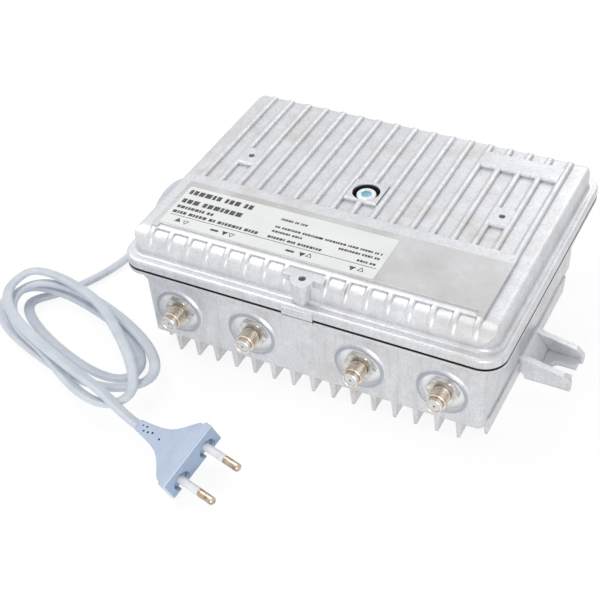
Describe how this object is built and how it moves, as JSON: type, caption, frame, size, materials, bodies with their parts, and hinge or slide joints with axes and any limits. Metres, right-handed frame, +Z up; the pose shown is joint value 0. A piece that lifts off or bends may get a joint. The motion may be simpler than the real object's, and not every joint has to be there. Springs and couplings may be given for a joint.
{
  "type": "tv signal amplifier",
  "caption": "Cast aluminium house amplifier for coaxial tv signals, with ribbed lid, finned base, threaded ports in front, mounting lugs and a mains flex with flat plug.",
  "frame": {"origin": "bottom centre of the case's bounding box, cord and plug left out, on the surface that the fins stand on", "axes": "+X to the right along the front, -Y out of the front where the ports are, +Z up through the lid"},
  "size_m": [0.2943, 0.2377, 0.0717],
  "materials": {
    "cast_aluminium": "as cast, satin with fine pits",
    "nickel": "nickel plated, bright",
    "zinc_screw": "zinc plated",
    "brass": "turned",
    "black_rubber": "matt",
    "white_plastic": "moulded",
    "grey_gland_plastic": "moulded",
    "grey_cord": "smooth, satin",
    "grey_plug": "moulded, satin",
    "label": "printed film",
    "circuit_board": "solder mask",
    "green_terminal": "moulded",
    "tinned_steel": "tinned sheet",
    "ferrite": "ground",
    "winding_tape": "polyester tape",
    "capacitor_sleeve": "shrunk sleeve",
    "black_plastic": "moulded",
    "blue_plastic": "moulded",
    "brown_wire": "insulated",
    "glass_fuse": "clear glass with metal caps",
    "green_lens": "clear tinted"
  },
  "bodies": {
    "base": {"amplifier_board": "circuit_board", "amplifier_module": "black_plastic", "base_housing": "cast_aluminium", "board_links": "tinned_steel", "board_screws": "zinc_screw", "cable_gland_body": "grey_gland_plastic", "cable_gland_locknut": "nickel", "cable_gland_nut": "grey_gland_plastic", "cable_gland_seal": "black_rubber", "filter_capacitors": "capacitor_sleeve", "fuse_clips": "tinned_steel", "gain_adjuster_body": "blue_plastic", "left_filter_can": "tinned_steel", "lid_gasket": "black_rubber", "mains_cord_hank": "grey_cord", "mains_cord_inlet": "grey_cord", "mains_cord_lead": "grey_cord", "mains_cord_tail": "grey_cord", "mains_fuse": "glass_fuse", "mains_terminal_block": "green_terminal", "mains_wires": "brown_wire", "pilot_light": "green_lens", "plug_body": "grey_plug", "plug_pin_sleeves": "white_plastic", "plug_pins": "nickel", "port_1_barrel": "nickel", "port_1_contact": "brass", "port_1_insulator": "white_plastic", "port_1_nut": "nickel", "port_2_barrel": "nickel", "port_2_contact": "brass", "port_2_insulator": "white_plastic", "port_2_nut": "nickel", "port_3_barrel": "nickel", "port_3_contact": "brass", "port_3_insulator": "white_plastic", "port_3_nut": "nickel", "port_4_barrel": "nickel", "port_4_contact": "brass", "port_4_insulator": "white_plastic", "port_4_nut": "nickel", "power_board": "circuit_board", "return_board": "circuit_board", "return_filter_can": "tinned_steel", "return_gain_adjuster_body": "blue_plastic", "right_filter_can": "tinned_steel", "slope_adjuster_body": "blue_plastic", "terminal_screws": "zinc_screw", "transformer_core": "ferrite", "transformer_winding": "winding_tape", "voltage_regulator": "black_plastic"},
    "lid": {"lid": "cast_aluminium", "lid_screw_seal": "black_rubber", "type_label": "label"},
    "lid_screw": {"lid_screw": "zinc_screw"},
    "gain_knob": {"gain_adjuster_knob": "white_plastic"},
    "slope_knob": {"slope_adjuster_knob": "white_plastic"},
    "return_gain_knob": {"return_gain_adjuster_knob": "white_plastic"}
  },
  "joints": [
    {"name": "lid_lift", "type": "slide", "parent": "base", "child": "lid", "axis": [0, 0, 1], "range_m": [0, 0.06]},
    {"name": "lid_screw_turn", "type": "hinge", "parent": "lid", "child": "lid_screw", "pos_m": [0, 0.00545, 0.07], "axis": [0, 0, 1], "continuous": true},
    {"name": "gain_knob_turn", "type": "hinge", "parent": "base", "child": "gain_knob", "pos_m": [-0.009, -0.02221, 0.033], "axis": [0, 0, 1], "range_deg": [-135, 135]},
    {"name": "slope_knob_turn", "type": "hinge", "parent": "base", "child": "slope_knob", "pos_m": [0.009, -0.02221, 0.033], "axis": [0, 0, 1], "range_deg": [-135, 135]},
    {"name": "return_gain_knob_turn", "type": "hinge", "parent": "base", "child": "return_gain_knob", "pos_m": [0.028, 0.01403, 0.033], "axis": [0, 0, 1], "range_deg": [-135, 135]}
  ]
}
